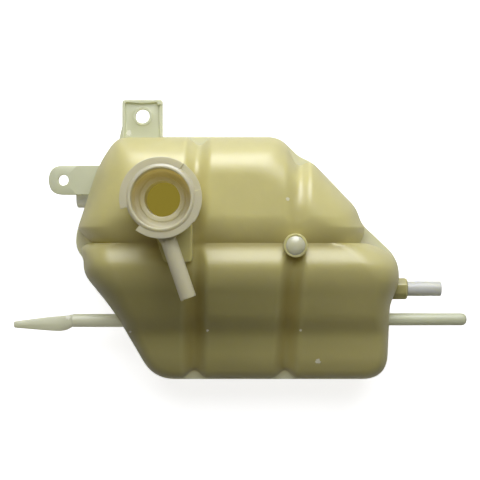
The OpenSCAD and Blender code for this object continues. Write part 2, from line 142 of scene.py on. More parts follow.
class PipeSizes(bpy.types.PropertyGroup):
    """Sizes of the pipes that are blown with the body, and of its pad and plinth."""
    pinched_y: place("Pinched pipe place", "Place of the pinched pipe along Y", -91.6)
    stub_y: place("Stub place", "Place of the closed stub along Y", -90.7)
    stub: length("Stub", "Radius of the closed stub", 4.75)
    stub_reach: length("Stub reach", "Filler axis to the end of the closed stub", 230.7)
    collar: length("Collar", "Radius of the eight corners of the side nipple's collar", 8.77)
    collar_out: length("Collar length", "How far the collar stands out of the right end", 6.1)
    boss: length("Boss", "Outer radius of the boss round the plug", 8.75)
    boss_top: length("Boss height", "Height of the boss above the underside", 101)
    plinth_top: length("Plinth height", "Height of the plinth under the overflow nipple", 108)


class NeckSizes(bpy.types.PropertyGroup):
    """Sizes of the filler neck and its overflow nipple."""
    mouth: length("Mouth", "Radius of the filler opening", 21)
    flange: length("Flange", "Outer radius of the cap flange", 29)
    flange_thick: length("Flange thickness", "Thickness of the cap flange", 3.5)
    top: length("Lip height", "Height of the lip above the underside", 138)
    lip: length("Lip", "Height of the lip ring above the flange", 1.2)
    lip_width: length("Lip width", "Width of the lip ring", 3)
    seat: length("Seat", "Depth of the cap's seat below the lip", 22)
    throat: length("Throat", "Radius of the hole in the seat", 12.8)
    wall: length("Wall", "Thickness of the neck's walls", 3.2)
    pad: length("Pad", "Height of the pad that the neck is welded on", 103)
    recess: length("Recess", "Depth of the shallow recess in the flange", 1.4)
    cam: length("Step", "How much smaller the flange is on its lower side", 0.6)
    nipple: length("Nipple", "Outer radius of the overflow nipple", 5.8)
    nipple_bore: length("Nipple bore", "Bore radius of the overflow nipple", 3.5)
    nipple_drop: length("Nipple drop", "Depth of its axis below the lip", 13)
    nipple_reach: length("Nipple reach", "Distance from the filler axis to its tip", 73)


class FittingSizes(bpy.types.PropertyGroup):
    """Sizes and places of the side nipple, the plug and the lower port."""
    side_y: place("Side nipple place", "Place of the side nipple along Y", -67)
    side: length("Side nipple", "Outer radius of the side nipple", 5.7)
    side_root: length("Side nipple root", "Outer radius of its thicker root, and of the hole it sits in", 6.1)
    side_bore: length("Side bore", "Bore radius of the side nipple", 3.6)
    side_reach: length("Side reach", "Distance from the filler axis to the tip of the side nipple", 210.9)
    plug_x: place("Plug X", "Place of the plug along X", 96.3)
    plug_y: place("Plug Y", "Place of the plug along Y", -33.4)
    plug: length("Plug", "Radius of the round plug", 7)
    dome: length("Dome", "How far the plug's dome stands out of its boss", 2.6)
    port_y: place("Port place", "Place of the lower port along Y", 4.5)
    port_z: length("Port height", "Height of the lower port's axis above the underside", 35)
    port: length("Port", "Outer radius of the lower port", 8.5)
    port_bore: length("Port bore", "Bore radius of the lower port", 6)
    port_reach: length("Port reach", "Distance from the filler axis to the end of the port", 72.4)


class PlasticColours(bpy.types.PropertyGroup):
    """Colours of the plastics, some of them painted shade, and of the faint light that comes through their
    walls.
    """
    blown: colour("Body", "Blown body from outside", 212, 204, 139)
    # Painted shade: the darker colour the lower rows turn to, where they lie turned away from the light
    lower: colour("Lower rows", "What the body turns to on its lower rows", 154, 147, 94)
    # Painted shade: the colour the bottoms of the grooves turn to
    groove: colour("Grooves", "What the body turns to at the bottom of its grooves", 146, 130, 62)
    seam: colour("Parting line", "What the body turns to along the parting line", 204, 204, 178)
    seam_light: colour("Parting line light", "Light through the wall along the parting line", 84, 83, 72)
    hollow: colour("Inside", "Inside of the body", 150, 138, 62)
    hollow_light: colour("Inside light", "Light through the walls of the body", 112, 103, 42)
    thin: colour("Tabs", "Tabs and closed stub", 200, 203, 172)
    thin_light: colour("Tab light", "Light through the tabs", 68, 67, 54)
    pipe: colour("Pinched pipe", "Pinched pipe and its leaf", 200, 202, 174)
    pipe_light: colour("Pipe light", "Light through the pinched pipe", 96, 94, 80)
    neck: colour("Neck", "Filler neck from outside", 203, 197, 165)
    # Painted shade: the colour inside the neck's mouth
    neck_mouth_shade: colour("Neck inside", "What the neck turns to inside its mouth", 176, 163, 112)
    neck_light: colour("Neck light", "Light through the neck's wall", 128, 114, 62)
    nipple: colour("Side nipple", "Side nipple", 216, 216, 204)
    plug: colour("Plug", "Round plug", 212, 210, 178)
    # Lower port: partly its own pale colour, partly painted light, made paler to make up for the shade it lies
    # in
    port: colour("Port", "Lower port", 228, 228, 222)
    port_light: colour("Port light", "Light through the lower port", 70, 70, 64)


class StageSettings(bpy.types.PropertyGroup):
    """Camera, lights and floor."""
    camera_height: length("Camera height", "Height of the lens above the neck's lip", 800)
    camera_x: place("Camera X", "Place of the lens along X", 55.65)
    camera_y: place("Camera Y", "Place of the lens along Y", -29.4)
    view_width: length("View width", "Width of the view at the parting line", 371)
    floor_half: length("Floor", "Half the side of the floor", 3000)
    floor_glow: amount("Floor glow", "Light added to the floor as the camera sees it", 0.82)
    key_power: amount("Key light", "Power of the large light", 8.75, "POWER")
    sheen_power: amount("Sheen light", "Power of the light seen in the gloss alone", 14.0, "POWER")
    fill_power: amount("Fill light", "Power of the fill light", 0.2, "POWER")
    room: amount("Room", "Strength of the dim light from above", 0.05)
    horizon: amount("Horizon", "Strength of the light from all sides", 0.32)


# Corners of the parting line as [x, y, length over which the corner is rounded], in millimetres.
# A reach in a corner is written as an offset from that reach.
def plan_corners(body):
    left, right = body.reach_left / MM, body.reach_right / MM
    top, bottom = body.reach_top / MM, body.reach_bottom / MM
    return np.array([
        (-11, -bottom, 16), (right - 9.3, -bottom, 19), (right - 6.8, -79, 5), (right, -64, 8),
        (right, -44, 12), (149.5, -16.7, 5), (145.5, -4.5, 6), (112, 30.5, 6), (101, 35.2, 4),
        (86, top, 9), (-38.5, top, 8), (-52.5, 31.5, 14), (-left, -24, 7), (-left, -36.5, 6),
        (6 - left, -44, 4), (5.8 - left, -55.5, 8), (-41, -85.5, 14)], dtype=float)


def rounded_line(corners, steps=10):
    """Closed line: each corner is a quadratic curve between the points where its rounding starts and ends."""
    p = corners[:, :2]
    a = np.roll(p, 1, axis=0) - p
    b = np.roll(p, -1, axis=0) - p
    reach = corners[:, 2:3]
    first = p + a / np.linalg.norm(a, axis=1, keepdims=True) * reach
    last = p + b / np.linalg.norm(b, axis=1, keepdims=True) * reach
    t = np.linspace(0, 1, steps + 1)[None, :, None]
    curve = (1 - t) ** 2 * first[:, None] + 2 * t * (1 - t) * p[:, None] + t ** 2 * last[:, None]
    return curve.reshape(-1, 2)


def resample_to(line, count):
    """Open line cut at even steps of arc length into a number of pieces."""
    run = np.concatenate([[0], np.cumsum(np.linalg.norm(np.diff(line, axis=0), axis=1))])
    at = np.linspace(0, run[-1], count + 1)
    return np.stack([np.interp(at, run, line[:, k]) for k in (0, 1)], axis=1)


def resample(line, step):
    """Open line cut at even steps of about a given length."""
    run = np.sum(np.linalg.norm(np.diff(line, axis=0), axis=1))
    return resample_to(line, max(1, int(round(run / step))))


def outline_of(corners, steps, step):
    """Closed line with rounded corners, cut at even steps."""
    line = rounded_line(np.array(corners, dtype=float), steps)
    return resample(np.vstack([line, line[:1]]), step)[:-1]


def wave(s, half):
    """Cosine bump: 1 at s = 0, falling to 0 at s = half on both sides."""
    return np.where(np.abs(s) >= half, 0.0, (1 + np.cos(math.pi * np.clip(s / half, -1, 1))) / 2)


def table(v, rows):
    """Straight lines between rows of [place, value]."""
    return np.interp(v, *zip(*rows))


def smooth_table(v, rows, reach=4.0):
    """The same with its corners rounded, as the mean of nine readings spread over the reach."""
    return sum(table(v + reach * k, rows) for k in np.linspace(-1, 1, 9)) / 9


# Powers of how the rows crowd towards the parting line, of the shoulder's curve, and of the long groove's
# slope and notch
ROW_POWER = 1.5
SHOULDER_POWER = 2.1
VALLEY_POWER = 1.5
NOTCH_POWER = 1.2
# Reach of the shoulder along Y, as [place in millimetres, share of the wall's rise]
SHOULDER_SHARE = ((-60, 0.5), (-15, 0.66))
# About half the length of the parting line, in millimetres
HALF_RING = 400
# Half width of the outline's notches at the cross grooves, and reach of those at the long groove's ends above
# and below its line, in millimetres
NOTCH_HALF = 10.5
NOTCH_ABOVE = 12
NOTCH_BELOW = 15
# Stretch below the long groove over which the lower row's drop comes in, in millimetres
DROP_STRETCH = 9
# Fall of the front face below its highest crest as [y, fall], in millimetres
CROWN_FALL = ((-140, 35), (-122, 27), (-99, 22), (-88, 14), (-70, 7), (-60, 2.6), (-50, 0), (60, 0))
# Where points of the ring find their foot on the long groove, as [ring x, foot x], in millimetres
FOOT_LINE = ((-71, -28), (-40, -16), (150, 128), (172, 140))
# Depth of each cross groove along Y, as a share of its full depth
GROOVE_SHARE_A = ((-140, 1.1), (-60, 1.1), (-40, 1.0), (-5, 0.55), (25, 0.6), (50, 0.9))
GROOVE_SHARE_B = ((-140, 1.1), (-60, 1.1), (-40, 1.0), (-22, 0.25), (-5, 0.2), (15, 0.5), (30, 0.9),
                  (50, 1.1))


class Skin:
    """The blown body as two height fields over the plan, in millimetres."""

    def __init__(self, body):
        self.b = {name: getattr(body, name) / MM for name in BodySizes.__annotations__}
        self.line = rounded_line(plan_corners(body))
        closed = np.vstack([self.line, self.line[:1]])
        self.samples = resample(closed, 2.0)[:-1]
        self.spacing = np.linalg.norm(np.roll(self.samples, -1, axis=0) - self.samples, axis=1)

    def edge_distance(self, points):
        """Distance to the parting line. Within 2 mm of it the plain one, and from 8 mm in a smooth one:
        the power -1/4 of the sum, over pieces of the line, of length over distance to the fifth, scaled to
        be true beside a straight line."""
        nearest = np.full(len(points), 1e9)
        total = np.zeros(len(points))
        for start, end, run in zip(self.samples, np.roll(self.samples, -1, axis=0), self.spacing):
            along = (end - start) / run
            offset = points - start
            t = np.clip(offset @ along, 0, run)
            gap = np.linalg.norm(offset - t[:, None] * along, axis=1)
            nearest = np.minimum(nearest, gap)
            middle = np.linalg.norm(points - (start + end) / 2, axis=1)
            total += run / np.maximum(middle, 1.5) ** 5
        smooth = (total / (4 / 3)) ** -0.25
        blend = np.clip((nearest - 2) / 6, 0, 1)
        return nearest * (1 - blend) + smooth * blend

    def lean(self, x):
        """Slope of the cross grooves against Y. It grows to the right."""
        return 0.012 + 0.0005 * x

    def groove_line(self, x, y):
        """Where a cross groove that meets the long one at x lies at y."""
        return x + self.lean(x) * (y + self.b["valley_y"])

    def bumps(self, x, y, half):
        """Cosine bumps over the leaning lines of the two cross grooves."""
        return [wave(x - self.groove_line(self.b[name], y), half) for name in ("groove_a_x", "groove_b_x")]

    def cross(self, x, y, half):
        """The deeper of the two cross grooves: the cosine bump of each times its share along Y."""
        first, second = self.bumps(x, y, half)
        return np.maximum(smooth_table(y, GROOVE_SHARE_A) * first, smooth_table(y, GROOVE_SHARE_B) * second)

    def notch(self, x, y):
        """How far the front half is set back: cosine bumps at the cross grooves, and at the ends of the long
        groove a nearly straight flank above it and a quarter of a circle below it."""
        b = self.b
        s = y + b["valley_y"]
        flank = np.clip(1 - s / NOTCH_ABOVE, 0, 1) ** NOTCH_POWER
        circle = 1 - np.sqrt(1 - np.clip(1 + s / NOTCH_BELOW, 0, 1) ** 2)
        return np.maximum(b["groove_notch"] * np.maximum(*self.bumps(x, y, NOTCH_HALF)),
                          b["valley_notch"] * np.where(s > 0, flank, circle))

    def front_height(self, x, y):
        """Crest height less the fall of the crown and the grooves. Above the long groove the face slopes into
        it as a power of the distance, and below it rises from it as a cosine. Where grooves cross, the cube
        root of the sum of their cubes is nearly the deeper one."""
        b = self.b
        s = y + b["valley_y"]
        q = np.clip(s / b["valley_upper"], 0, 1)
        depth, lower = b["valley_depth"], b["lower_fall"]
        valley = np.where(s > 0, depth * (1 - q) ** VALLEY_POWER,
                          lower + (depth - lower) * wave(s, b["valley_lower"]))
        groove = b["groove_depth"] * self.cross(x, y, b["groove_half"])
        base = lower * np.clip(-s / DROP_STRETCH, 0, 1)
        deeper = ((valley - base) ** 3 + groove ** 3) ** (1 / 3)
        return b["crest"] - smooth_table(y, CROWN_FALL) - base - deeper

    def back_height(self, x, y, d):
        """Height of the underside: cosine bumps along the same three lines, fading out over 15 mm beside its
        rounded edge."""
        b = self.b
        fade = np.clip((d - b["shoulder_back"]) / 15, 0, 1)
        across = np.maximum(*self.bumps(x, y, b["groove_half"]))
        return b["under_depth"] * fade * np.maximum(across, wave(y + b["valley_y"], b["groove_half"]))

    def shoulder(self, q):
        """Superellipse quarter: 0 at the wall's foot, 1 where the shoulder ends."""
        q = np.clip(q, 0, 1)
        return (1 - (1 - q) ** SHOULDER_POWER) ** (1 / SHOULDER_POWER)

    def shoulder_share(self, y):
        """Reach of the shoulder as a share of the wall's rise: broad on the upper row, tight on the lower."""
        return table(y, SHOULDER_SHARE)

    def ring(self, step):
        """Points of the parting line, and the foot on the long groove that each of them runs to. The lower
        and the upper path from end to end have as many points, so that they share their feet."""
        y = -self.b["valley_y"]
        line = np.vstack([self.line, self.line[:1]])
        above = line[:, 1] > y
        turns = np.flatnonzero(above[:-1] != above[1:])
        share = (y - line[turns, 1]) / (line[turns + 1, 1] - line[turns, 1])
        ends = line[turns] + share[:, None] * (line[turns + 1] - line[turns])
        right, left = np.argmax(ends[:, 0]), np.argmin(ends[:, 0])
        first, last = turns[right] + 1, turns[left] + 1
        upper = np.vstack([ends[right], line[first:last], ends[left]])
        lower = np.vstack([ends[left], line[last:-1], line[:first], ends[right]])
        count = int(round(HALF_RING / step))
        lower, upper = resample_to(lower, count), resample_to(upper, count)
        middle = (lower[:, 0] + upper[::-1, 0]) / 2
        foot = np.column_stack([table(middle, FOOT_LINE), np.full(count + 1, y)])
        return np.vstack([lower[:-1], upper[:-1]]), np.vstack([foot[:-1], foot[::-1][:-1]])

    def mesh(self, inset, step, front_rows, back_rows):
        """Closed skin. Row after row of the ring shrinks from the parting line to the long groove on both
        faces, at the height of the face there times the shoulder's superellipse."""
        b = self.b
        ring, foot = self.ring(step)
        n = len(ring)

        def within(share):
            return ring + (foot - ring) * np.reshape(share, (-1, 1))

        def share_at(depth_at):
            """Share of the way in at which each row reaches its wanted distance from the parting line."""
            most, halvings = 0.6, 26
            low, high = np.zeros(n), np.full(n, most)
            for _ in range(halvings):
                middle = (low + high) / 2
                p = within(middle)
                short = self.edge_distance(p) < depth_at(p)
                low = np.where(short, middle, low)
                high = np.where(short, high, middle)
            return (low + high) / 2

        start = inset + b["rib_out"]
        notch_share = share_at(lambda p: start + self.notch(p[:, 0], p[:, 1]))
        start_share = share_at(lambda p: np.full(n, start))
        lift = b["rib_height"] / 2

        def front(p):
            d = self.edge_distance(p)
            rise = self.front_height(p[:, 0], p[:, 1]) - inset - b["parting"]
            notch = start + self.notch(p[:, 0], p[:, 1])
            reach = self.shoulder_share(p[:, 1]) * rise
            z = b["parting"] + lift + (rise - lift) * self.shoulder((d - notch) / reach)
            return np.column_stack([p, z])

        def back(p):
            d = self.edge_distance(p)
            floor = inset + self.back_height(p[:, 0], p[:, 1], d)
            drop = b["parting"] - floor
            z = b["parting"] - lift - (drop - lift) * self.shoulder((d - start) / b["shoulder_back"])
            return np.column_stack([p, z])

        # Rows lie closer near the parting line, where the faces bend most
        shares = np.linspace(1, 0, front_rows + 1) ** ROW_POWER
        rows = [front(within(notch_share + (1 - notch_share) * s)) for s in shares]
        if inset == 0:
            # Section of the parting rib as [share of its depth, share of its height]
            for out, up in ((0.35, 0.5), (0.0, 0.28), (0.0, -0.28), (0.35, -0.5)):
                level = np.full(n, b["parting"] + up * b["rib_height"])
                rows.append(np.column_stack([within(start_share * out), level]))
        shares = np.linspace(0, 1, back_rows + 1) ** ROW_POWER
        rows += [back(within(start_share + (1 - start_share) * s)) for s in shares]
        points = np.vstack(rows) * MM
        return points, grid_faces(len(rows), n)


def grid_faces(rows, columns, wrap_rows=False):
    """Quads of a grid whose columns close into a ring; its rows close too if wrap_rows is set."""
    k = np.arange((rows if wrap_rows else rows - 1) * columns)
    i = k % columns
    j = (i + 1) % columns
    base = k - i
    above = (base + columns) % (rows * columns)
    return np.stack([base + i, base + j, above + j, above + i], axis=1)


def axes_along(direction):
    """Three unit vectors, the last along a direction and the first as level as it can be."""
    w = np.array(direction, dtype=float) / np.linalg.norm(direction)
    u = np.cross((0, 0, 1), w) if abs(w[2]) < 0.9 else np.cross(w, (0, 1, 0))
    u /= np.linalg.norm(u)
    return u, np.cross(w, u), w


def turned(profile, steps, at=(0, 0, 0), along=(0, 0, 1)):
    """Turned ring: a closed line of [radius, height] carried round an axis, all in millimetres."""
    angle = np.linspace(0, 2 * math.pi, steps, endpoint=False)
    r = np.repeat(profile[:, :1], steps, axis=1)
    u, v, w = axes_along(along)
    points = (r[..., None] * (np.cos(angle)[None, :, None] * u + np.sin(angle)[None, :, None] * v)
              + profile[:, 1][:, None, None] * w + np.array(at, dtype=float))
    return points.reshape(-1, 3) * MM, grid_faces(len(profile), steps, wrap_rows=True)


def end_caps(rows, columns):
    """Triangles from the first and the last row of a grid to the two tips that follow its points."""
    ring = np.arange(columns)
    after = (ring + 1) % columns
    last = (rows - 1) * columns
    tip = rows * columns
    first = np.stack([np.full(columns, tip), after, ring, ring], axis=1)
    return np.vstack([first, np.stack([np.full(columns, tip + 1), last + ring, last + after, last + after],
                                      axis=1)])


def bar(outline, places, scales, at, along):
    """Closed bar: an outline scaled at places along an axis, its two ends drawn to a point on the axis."""
    u, v, w = axes_along(along)
    flat = outline[:, :1] * u + outline[:, 1:2] * v
    rings = [np.array(at) + distance * w + scale * flat for distance, scale in zip(places, scales)]
    tips = [np.array(at) + places[0] * w, np.array(at) + places[-1] * w]
    n, rows = len(outline), len(places)
    return np.vstack(rings + tips) * MM, np.vstack([grid_faces(rows, n), end_caps(rows, n)])


def lofted(centres, widths, heights, power, columns=64):
    """Closed bar: superellipse sections of given half widths and heights at centres along X, its ends drawn
    to a point."""
    angle = np.linspace(0, 2 * math.pi, columns, endpoint=False)
    c, s = np.cos(angle), np.sin(angle)
    y = np.sign(c) * np.abs(c) ** (2 / power[:, None]) * widths[:, None]
    z = np.sign(s) * np.abs(s) ** (2 / power[:, None]) * heights[:, None]
    x = np.repeat(centres[:, :1], columns, axis=1)
    points = np.stack([x, centres[:, 1:2] + y, centres[:, 2:3] + z], axis=2)
    rows = len(centres)
    points = np.vstack([points.reshape(-1, 3), centres[:1], centres[-1:]]) * MM
    return points, np.vstack([grid_faces(rows, columns), end_caps(rows, columns)])


def plate(corners, low, high, rounding):
    """Solid plate: an eyelet without a hole, whose upper edge is rounded."""
    line = outline_of(corners, 6, 0.8)
    # The curve as [inset, drop], in shares of the rounding
    curve = ((-1.6, 0), (-1, 0.02), (-0.5, 0.13), (-0.13, 0.5), (0, 1))
    edge = [(1, inset * rounding, high - drop * rounding) for inset, drop in curve]
    return eyelet(line, line.mean(axis=0), 0.0, [(0, 0, high), *edge, (1, 0, low), (0, 0, low)])


def eyelet(line, centre, radius, section):
    """Plate with one hole: the section is carried round the plate. Its points are [share, shift, height], and
    each lies at a share of the way from the hole's edge to the outline, moved outward by the shift."""
    offset = line - np.array(centre)
    distance = np.linalg.norm(offset, axis=1)
    direction = offset / distance[:, None]
    share, shift, height = np.array(section, dtype=float).T
    run = radius + share[:, None] * (distance - radius)[None, :] + shift[:, None]
    flat = np.array(centre) + run[..., None] * direction[None]
    level = np.broadcast_to(height[:, None, None], flat.shape[:2] + (1,))
    points = np.concatenate([flat, level], axis=2)
    return points.reshape(-1, 3) * MM, grid_faces(len(section), len(line), wrap_rows=True)


def make_mesh(name, points, faces):
    """Mesh from arrays; a repeated last corner in a face makes it a triangle."""
    mesh = bpy.data.meshes.new(name)
    single = faces[:, 2] == faces[:, 3]
    loops = np.where(single, 3, 4)
    corners = faces.ravel()[np.stack([np.full(len(faces), True)] * 3 + [~single], axis=1).ravel()]
    mesh.vertices.add(len(points))
    mesh.vertices.foreach_set("co", points.astype(np.float32).ravel())
    mesh.loops.add(len(corners))
    mesh.loops.foreach_set("vertex_index", corners.astype(np.int32))
    mesh.polygons.add(len(faces))
    mesh.polygons.foreach_set("loop_start", (np.cumsum(loops) - loops).astype(np.int32))
    mesh.update(calc_edges=True)
    mesh.validate()
    return mesh


def place_object(name, data):
    """New object of the scene that shows a mesh, a lamp or a camera."""
    piece = bpy.data.objects.new(name, data)
    bpy.context.scene.collection.objects.link(piece)
    return piece


def solid(name, surface):
    """Object of one closed surface, its faces pointing outwards."""
    mesh = make_mesh(name, *surface)
    weld(mesh)
    return place_object(name, mesh)


def combine(base, others, operation):
    """Joins or cuts a solid with others, which are used up."""
    for other in others:
        change = base.modifiers.new(operation.lower(), "BOOLEAN")
        change.operation = operation
        change.solver = "MANIFOLD"
        change.object = other
    result = bpy.data.meshes.new_from_object(base.evaluated_get(bpy.context.evaluated_depsgraph_get()))
    base.modifiers.clear()
    base.data = result
    for other in others:
        bpy.data.objects.remove(other)
    return base


def finish_piece(piece, node, materials):
    """Smooth shading with sharp folds, the materials and the frame's entries of a finished piece."""
    mesh = piece.data
    for index, material in enumerate(materials):
        if index < len(mesh.materials):
            mesh.materials[index] = material
        else:
            mesh.materials.append(material)
    mesh.polygons.foreach_set("use_smooth", np.ones(len(mesh.polygons), dtype=bool))
    mesh.set_sharp_from_angle(angle=FOLD_ANGLE)
    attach(piece, "root")
    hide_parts(node)


def weld(mesh):
    """Merges points that lie together and turns the faces outwards."""
    bm = bmesh.new()
    bm.from_mesh(mesh)
    bmesh.ops.remove_doubles(bm, verts=bm.verts, dist=WELD_GAP)
    bmesh.ops.dissolve_degenerate(bm, edges=bm.edges, dist=1e-7)
    bmesh.ops.recalc_face_normals(bm, faces=bm.faces)
    bm.to_mesh(mesh)
    bm.free()


# Mottling: how dark and how light it gets, and how fine it is
MOTTLE = (0.9, 1.06)
MOTTLE_SCALE = 38
# Orange peel: how fine its two layers are, and its height in metres
PEEL_COARSE = 170
PEEL_FINE = 900
PEEL_HEIGHT = 0.00018


def plastic(name, base, roughness, subsurface=0.5, tints=(), marks=(), glow=None, glow_share=None):
    """Satin translucent plastic: a faint mottling, a fine orange-peel bump, tints given as the name of a mesh
    attribute with the colour it turns to (the grooves', lower rows' and neck mouth's tints are painted shade),
    small pale marks given as [x, y, radius] in millimetres, and the colour of light that comes through the
    walls, everywhere or as the share in a mesh attribute."""
    material = bpy.data.materials.new(name)
    material.use_nodes = True
    nodes, links = material.node_tree.nodes, material.node_tree.links
    shader = nodes["Principled BSDF"]
    where = nodes.new("ShaderNodeTexCoord").outputs["Object"]

    def noise(scale, detail):
        node = nodes.new("ShaderNodeTexNoise")
        node.inputs["Scale"].default_value = scale
        node.inputs["Detail"].default_value = detail
        links.new(where, node.inputs["Vector"])
        return node.outputs["Fac"]

    def math_node(operation, *values):
        node = nodes.new("ShaderNodeMath")
        node.operation = operation
        for socket, value in zip(node.inputs, values):
            if isinstance(value, (int, float)):
                socket.default_value = value
            else:
                links.new(value, socket)
        return node.outputs[0]

    def mix(factor, first, second):
        node = nodes.new("ShaderNodeMix")
        node.data_type = "RGBA"
        for socket, value in zip((node.inputs[0], node.inputs[6], node.inputs[7]), (factor, first, second)):
            if isinstance(value, tuple):
                socket.default_value = (*value, 1)
            else:
                links.new(value, socket)
        return node.outputs[2]

    def share_of(attribute):
        node = nodes.new("ShaderNodeAttribute")
        node.attribute_name = attribute
        return node.outputs["Fac"]

    darker, lighter = (tuple(min(1.0, v * share) for v in base) for share in MOTTLE)
    paint = mix(noise(MOTTLE_SCALE, 3), darker, lighter)
    for attribute, tint in tints:
        paint = mix(share_of(attribute), paint, tuple(tint))
    for x, y, radius in marks:
        distance = nodes.new("ShaderNodeVectorMath")
        distance.operation = "DISTANCE"
        flat = nodes.new("ShaderNodeVectorMath")
        flat.operation = "MULTIPLY"
        flat.inputs[1].default_value = (1, 1, 0)
        links.new(where, flat.inputs[0])
        links.new(flat.outputs[0], distance.inputs[0])
        distance.inputs[1].default_value = (x * MM, y * MM, 0)
        ragged = math_node("MULTIPLY_ADD", noise(PEEL_FINE, 2), 2 * radius * MM, distance.outputs["Value"])
        inside = math_node("LESS_THAN", ragged, 2 * radius * MM)
        paint = mix(math_node("MULTIPLY", inside, MARK_STRENGTH), paint, MARK_COLOUR)
    links.new(paint, shader.inputs["Base Color"])
    bump = nodes.new("ShaderNodeBump")
    bump.inputs["Strength"].default_value = 0.35
    bump.inputs["Distance"].default_value = PEEL_HEIGHT
    peel = math_node("MULTIPLY_ADD", noise(PEEL_FINE, 2), 0.25, noise(PEEL_COARSE, 2))
    links.new(peel, bump.inputs["Height"])
    links.new(bump.outputs["Normal"], shader.inputs["Normal"])
    for socket, value in (("Roughness", roughness), ("IOR", 1.5),
                          ("Coat Weight", 0.25), ("Coat Roughness", 0.42),
                          ("Subsurface Weight", subsurface), ("Subsurface Scale", 0.007),
                          ("Subsurface Radius", (1.0, 0.95, 0.5))):
        shader.inputs[socket].default_value = value
    if glow is not None:
        shader.inputs["Emission Color"].default_value = (*glow, 1)
        shader.inputs["Emission Strength"].default_value = 1.0
        if glow_share is not None:
            links.new(share_of(glow_share), shader.inputs["Emission Strength"])
    return material


def ring_section(inner, outer, low, high, rounding):
    """Closed section of a straight ring with rounded edges."""
    return rounded_line(np.array([(inner, low, rounding), (outer, low, rounding),
                                  (outer, high, rounding), (inner, high, rounding)], dtype=float), 4)


def rod_section(radius, low, high, rounding):
    """Section of a turned rod that closes on its axis."""
    corners = ((0.0, low, 0.01), (radius, low, 0.05), (radius, high, rounding), (0.0, high, 0.01))
    end = rounded_line(np.array(corners), 8)
    return np.column_stack([np.maximum(end[:, 0], 0.0), end[:, 1]])


MARK_COLOUR = (0.85, 0.84, 0.74)
MARK_STRENGTH = 0.7
# Small pale scuffs of the body as [x, y, radius], in millimetres
MARKS = ((90.6, 0.6, 1.3), (114.6, -121.5, 1.9), (31.2, -97.4, 0.9), (101.3, -97.4, 0.9), (-27.4, -98.9, 1.0),
         (-30.0, 53.1, 2.0), (-77.0, -88.8, 1.9))


def coordinates(mesh):
    """Places of a mesh's points in millimetres, as three arrays."""
    points = np.empty(len(mesh.vertices) * 3, dtype=np.float32)
    mesh.vertices.foreach_get("co", points)
    return points.reshape(-1, 3).T.astype(float) / MM


def add_share(mesh, name, values):
    """Adds a share from 0 to 1 at each of a mesh's points, which a material can read."""
    attribute = mesh.attributes.new(name, "FLOAT", "POINT")
    attribute.data.foreach_set("value", np.clip(values, 0, 1).astype(np.float32))


# Painted shade: how dark the cross grooves are along Y, how far the body takes the lower rows' shade along Y,
# and how much of that it keeps along X, each as [place in millimetres, share]
GROOVE_SHADE = ((-125, 0.3), (-105, 0.4), (-85, 0.7), (-64, 0.5), (-50, 0.1), (-34, 0.2), (-20, 0.7), (0, 0.8),
               (40, 0.3))
LOWER_SHADE = ((-115, 0.75), (-98, 1.0), (-68, 0.95), (-50, 0.4), (-26, 0.0))
LOWER_SHADE_ACROSS = ((60, 1.0), (170, 0.55))


def paint_body(mesh, skin):
    """Attributes: groove is painted shade at the bottom of the front face's grooves and of the long groove,
    low is painted shade on the lower rows, less of it towards the right, and thin along the parting line. Away
    from the front face, over 6 mm, the grooves' share falls to nothing."""
    x, y, z = coordinates(mesh)
    b = skin.b
    s = y + b["valley_y"]
    below, share, fade, strength = 7.0, 0.55, 6, 0.8
    # Painted shade along the long groove and in the cross grooves
    valley = np.where(s > 0, np.clip(1 - s / b["valley_upper"], 0, 1) ** 2, wave(s, below))
    depth = np.maximum(skin.cross(x, y, b["groove_half"]) * table(y, GROOVE_SHADE), valley * share)
    near = np.clip(1 - np.abs(z - skin.front_height(x, y)) / fade, 0, 1)
    add_share(mesh, "groove", depth * near * strength)
    # Painted shade on the lower rows, less of it towards the right
    add_share(mesh, "low", table(y, LOWER_SHADE) * table(x, LOWER_SHADE_ACROSS))
    add_share(mesh, "thin", np.clip(1.5 - np.abs(z - b["parting"]) / 2, 0, 0.8))


# Height from which the plinth, the boss and the pad start inside the front wall, in millimetres
FRONT_ROOT = 80
# Rounding of an edge that stays sharp, in millimetres
SHARP = 0.01
# How far the neck's foot stands out on the pad, in millimetres
NECK_FOOT = 1.4
MATERIALS = ("outside", "inside", "thin", "pipe")


def neck_foot(neck):
    """Radius of the neck's foot, in millimetres."""
    return (neck.mouth + neck.wall) / MM + NECK_FOOT


def mark_faces(surface, kind):
    """Gives all faces of an object one material of the list, so that it keeps its own when it is joined."""
    for name in MATERIALS:
        surface.data.materials.append(bpy.data.materials.get(name) or bpy.data.materials.new(name))
    faces = surface.data.polygons
    faces.foreach_set("material_index", np.full(len(faces), MATERIALS.index(kind), dtype=np.int32))


